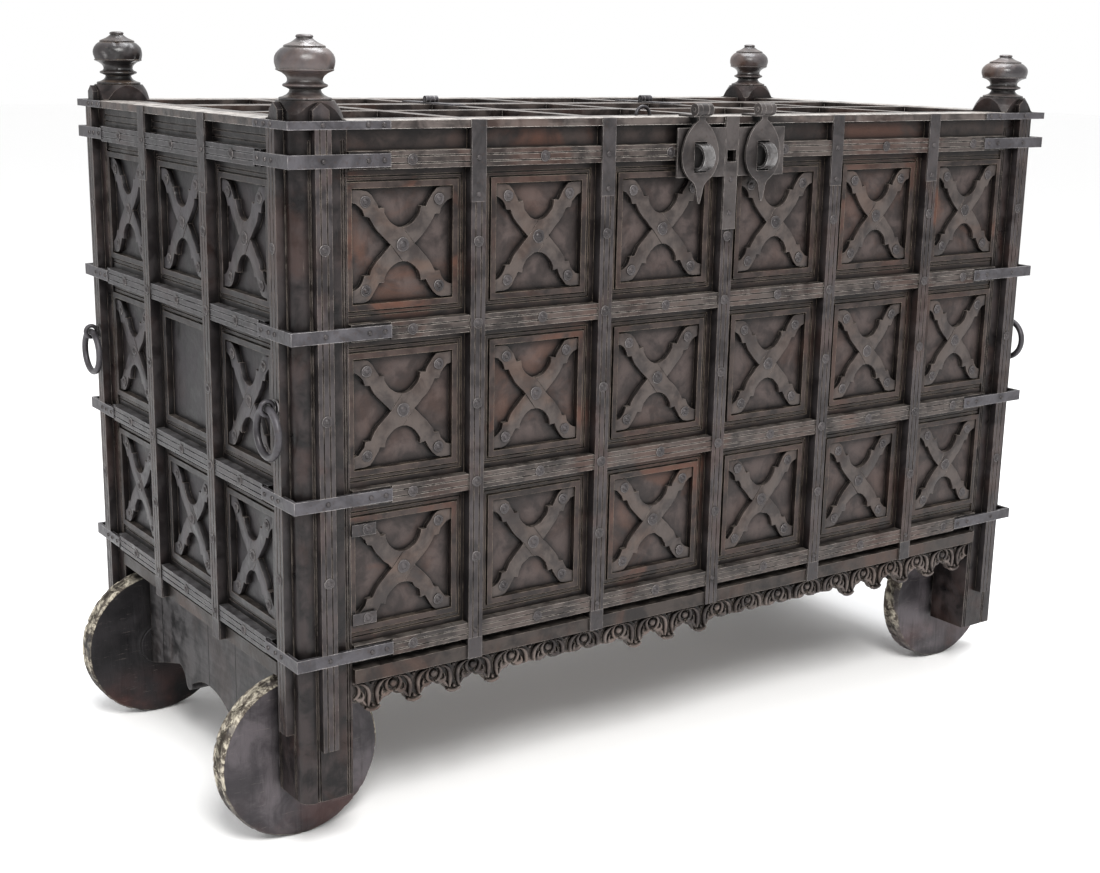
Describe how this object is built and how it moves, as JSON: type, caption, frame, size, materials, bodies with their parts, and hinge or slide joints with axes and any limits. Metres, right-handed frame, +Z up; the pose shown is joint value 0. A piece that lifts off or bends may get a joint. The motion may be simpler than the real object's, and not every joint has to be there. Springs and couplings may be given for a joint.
{
  "type": "wheeled chest",
  "caption": "Iron-strapped wooden chest on disc wheels, with sunk crossed panels, a front-opening lid, padlock hasps, ring handles and turned corner finials.",
  "frame": {"origin": "on the floor under the middle of the overall box", "axes": "+Z up, +X to the right along the front, front faces -Y"},
  "size_m": [1.912, 0.9678, 1.3602],
  "materials": {
    "aged_wood": "dark aged hardwood, waxed and worn pale on the edges",
    "panel_wood": "dark aged boards with brown patches",
    "inner_wood": "dry unpolished boards",
    "wheel_wood": "dark solid disc with a chipped pale tread",
    "wrought_iron": "dark hand-forged iron, dull with rubbed edges"
  },
  "bodies": {
    "chest": {"post_front_left": "aged_wood", "post_front_right": "aged_wood", "post_rear_left": "aged_wood", "post_rear_right": "aged_wood", "finial_front_left": "aged_wood", "finial_front_right": "aged_wood", "finial_rear_left": "aged_wood", "finial_rear_right": "aged_wood", "front_mouldings": "aged_wood", "rear_mouldings": "aged_wood", "end_mouldings": "aged_wood", "front_rails": "aged_wood", "rear_rails": "aged_wood", "end_rails": "aged_wood", "front_uprights": "aged_wood", "rear_uprights": "aged_wood", "end_uprights": "aged_wood", "post_strips": "aged_wood", "rim_bars": "aged_wood", "bottom_rails": "aged_wood", "front_apron": "aged_wood", "left_end_beam": "aged_wood", "right_end_beam": "aged_wood", "rear_top_lattice": "aged_wood", "front_crosses": "aged_wood", "end_crosses": "aged_wood", "front_wall": "panel_wood", "rear_wall": "panel_wood", "left_wall": "panel_wood", "right_wall": "panel_wood", "rear_top_boards": "panel_wood", "floor_boards": "inner_wood", "top_ledges": "inner_wood", "corner_plates": "wrought_iron", "tie_plates": "wrought_iron", "axle_pins": "wrought_iron", "rosette_nails": "wrought_iron", "dome_nails": "wrought_iron", "ring_eyes": "wrought_iron", "hasp_plates": "wrought_iron", "hasp_staples": "wrought_iron", "hasp_brackets": "wrought_iron", "keyhole_plate": "wrought_iron", "lock_case": "wrought_iron", "hinge_fixed_leaves": "wrought_iron"},
    "lid": {"lid_boards": "panel_wood", "lid_lattice": "aged_wood", "hinge_lid_leaves": "wrought_iron", "lid_pull": "wrought_iron"},
    "lock_bolt_body": {"lock_bolt": "wrought_iron"},
    "left_hasp_body": {"left_hasp": "wrought_iron"},
    "right_hasp_body": {"right_hasp": "wrought_iron"},
    "wheel_front_left_body": {"wheel_front_left": "wheel_wood"},
    "ring_front_left_body": {"ring_front_left": "wrought_iron"},
    "wheel_front_right_body": {"wheel_front_right": "wheel_wood"},
    "ring_front_right_body": {"ring_front_right": "wrought_iron"},
    "wheel_rear_left_body": {"wheel_rear_left": "wheel_wood"},
    "ring_rear_left_body": {"ring_rear_left": "wrought_iron"},
    "wheel_rear_right_body": {"wheel_rear_right": "wheel_wood"},
    "ring_rear_right_body": {"ring_rear_right": "wrought_iron"}
  },
  "joints": [
    {"name": "lid_hinge", "type": "hinge", "parent": "chest", "child": "lid", "pos_m": [0, 0.1521, 1.24], "axis": [-1, 0, 0], "range_deg": [0, 95]},
    {"name": "left_hasp_hinge", "type": "hinge", "parent": "chest", "child": "left_hasp_body", "pos_m": [-0.074, -0.4579, 1.245], "axis": [-1, 0, 0], "range_deg": [0, 125]},
    {"name": "right_hasp_hinge", "type": "hinge", "parent": "chest", "child": "right_hasp_body", "pos_m": [0.074, -0.4579, 1.245], "axis": [-1, 0, 0], "range_deg": [0, 125]},
    {"name": "lock_bolt_slide", "type": "slide", "parent": "chest", "child": "lock_bolt_body", "axis": [0, 0, 1], "range_m": [0, 0.015]},
    {"name": "wheel_front_left_spin", "type": "hinge", "parent": "chest", "child": "wheel_front_left_body", "pos_m": [-0.808, -0.3049, 0.148], "axis": [0, 1, 0], "continuous": true},
    {"name": "ring_front_left_swing", "type": "hinge", "parent": "chest", "child": "ring_front_left_body", "pos_m": [-0.885, -0.3839, 0.783], "axis": [0, 1, 0], "range_deg": [0, 110]},
    {"name": "wheel_front_right_spin", "type": "hinge", "parent": "chest", "child": "wheel_front_right_body", "pos_m": [0.808, -0.3049, 0.148], "axis": [0, 1, 0], "continuous": true},
    {"name": "ring_front_right_swing", "type": "hinge", "parent": "chest", "child": "ring_front_right_body", "pos_m": [0.885, -0.3839, 0.783], "axis": [0, -1, 0], "range_deg": [0, 110]},
    {"name": "wheel_rear_left_spin", "type": "hinge", "parent": "chest", "child": "wheel_rear_left_body", "pos_m": [-0.808, 0.3411, 0.148], "axis": [0, 1, 0], "continuous": true},
    {"name": "ring_rear_left_swing", "type": "hinge", "parent": "chest", "child": "ring_rear_left_body", "pos_m": [-0.885, 0.4201, 0.783], "axis": [0, 1, 0], "range_deg": [0, 110]},
    {"name": "wheel_rear_right_spin", "type": "hinge", "parent": "chest", "child": "wheel_rear_right_body", "pos_m": [0.808, 0.3411, 0.148], "axis": [0, 1, 0], "continuous": true},
    {"name": "ring_rear_right_swing", "type": "hinge", "parent": "chest", "child": "ring_rear_right_body", "pos_m": [0.885, 0.4201, 0.783], "axis": [0, -1, 0], "range_deg": [0, 110]}
  ]
}
